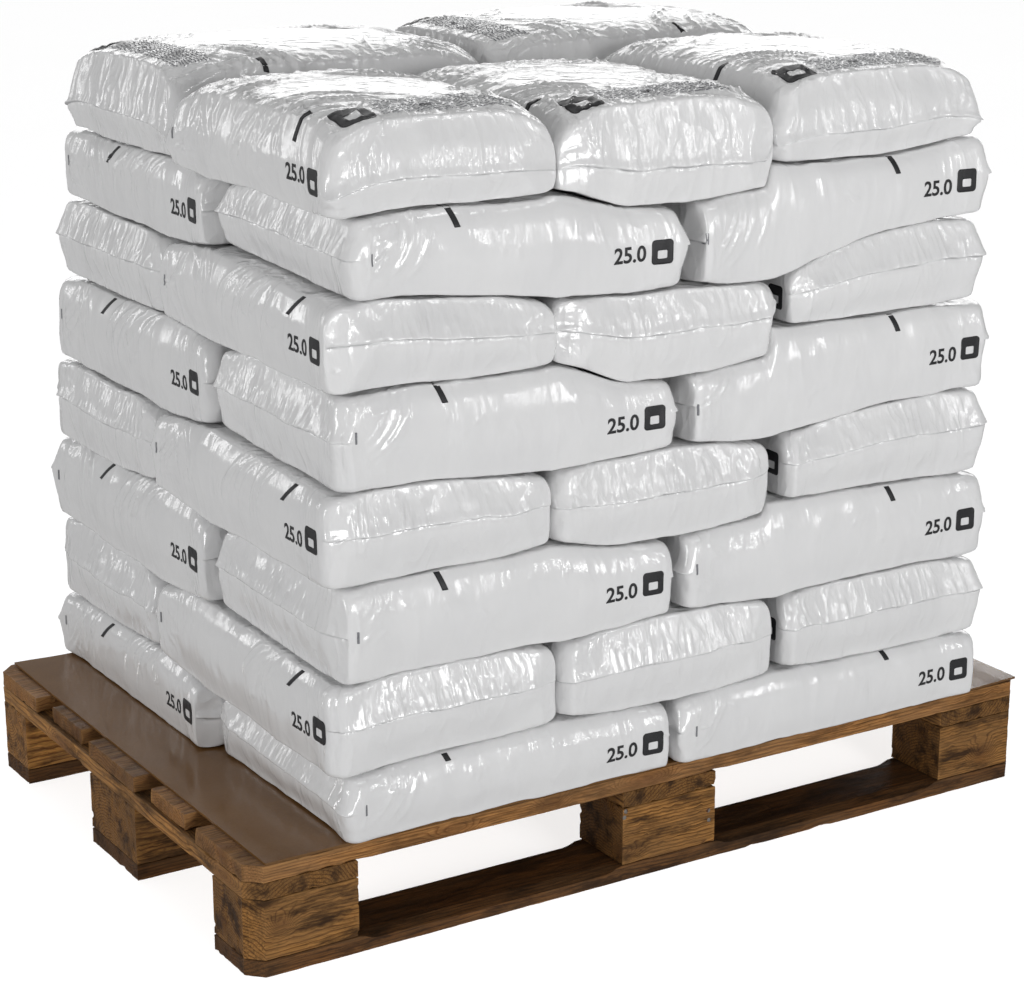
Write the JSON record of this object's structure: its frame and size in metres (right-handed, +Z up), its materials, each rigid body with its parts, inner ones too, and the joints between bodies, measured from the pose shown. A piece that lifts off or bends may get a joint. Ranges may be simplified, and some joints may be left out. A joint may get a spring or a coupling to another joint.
{
  "type": "loaded pallet of filled sacks",
  "caption": "Wooden block pallet loaded with interlocking layers of glossy white filled film sacks on a thin brown sheet; forks enter from every side.",
  "frame": {"origin": "on the floor under the middle of the pallet", "axes": "+X along the pallet's long side, +Y along its short side from the front long side to the back, +Z up"},
  "size_m": [1.2, 0.834, 1.0343],
  "materials": {
    "sack_film": "white polyethylene film, glossy, finely creased, with plain black print",
    "brown_sheet": "smooth brown pressed board, slightly glazed",
    "deck_wood": "sawn softwood, used, orange-brown edges and grey faces",
    "block_wood": "sawn softwood, used, darkened and stained",
    "ground_wood": "sawn softwood, used, dirty dark grey-brown"
  },
  "bodies": {
    "root": {"block_back_left": "block_wood", "block_back_middle": "block_wood", "block_back_right": "block_wood", "block_front_left": "block_wood", "block_front_middle": "block_wood", "block_front_right": "block_wood", "block_middle_left": "block_wood", "block_middle_right": "block_wood", "brown_sheet": "brown_sheet", "deck_board_1": "deck_wood", "deck_board_2": "deck_wood", "deck_board_3": "deck_wood", "deck_board_4": "deck_wood", "deck_board_5": "deck_wood", "ground_board_back": "ground_wood", "ground_board_front": "ground_wood", "ground_board_middle_with_block": "ground_wood", "sack_1_back_left": "sack_film", "sack_1_back_middle": "sack_film", "sack_1_back_right": "sack_film", "sack_1_front_left": "sack_film", "sack_1_front_right": "sack_film", "sack_2_back_left": "sack_film", "sack_2_back_right": "sack_film", "sack_2_front_left": "sack_film", "sack_2_front_middle": "sack_film", "sack_2_front_right": "sack_film", "sack_3_back_left": "sack_film", "sack_3_back_middle": "sack_film", "sack_3_back_right": "sack_film", "sack_3_front_left": "sack_film", "sack_3_front_right": "sack_film", "sack_4_back_left": "sack_film", "sack_4_back_right": "sack_film", "sack_4_front_left": "sack_film", "sack_4_front_middle": "sack_film", "sack_4_front_right": "sack_film", "sack_5_back_left": "sack_film", "sack_5_back_middle": "sack_film", "sack_5_back_right": "sack_film", "sack_5_front_left": "sack_film", "sack_5_front_right": "sack_film", "sack_6_back_left": "sack_film", "sack_6_back_right": "sack_film", "sack_6_front_left": "sack_film", "sack_6_front_middle": "sack_film", "sack_6_front_right": "sack_film", "sack_7_back_left": "sack_film", "sack_7_back_middle": "sack_film", "sack_7_back_right": "sack_film", "sack_7_front_left": "sack_film", "sack_7_front_right": "sack_film", "sack_8_back_left": "sack_film", "sack_8_back_right": "sack_film", "sack_8_front_left": "sack_film", "sack_8_front_middle": "sack_film", "sack_8_front_right": "sack_film", "stringer_left": "block_wood", "stringer_middle": "block_wood", "stringer_right": "block_wood"}
  },
  "joints": []
}
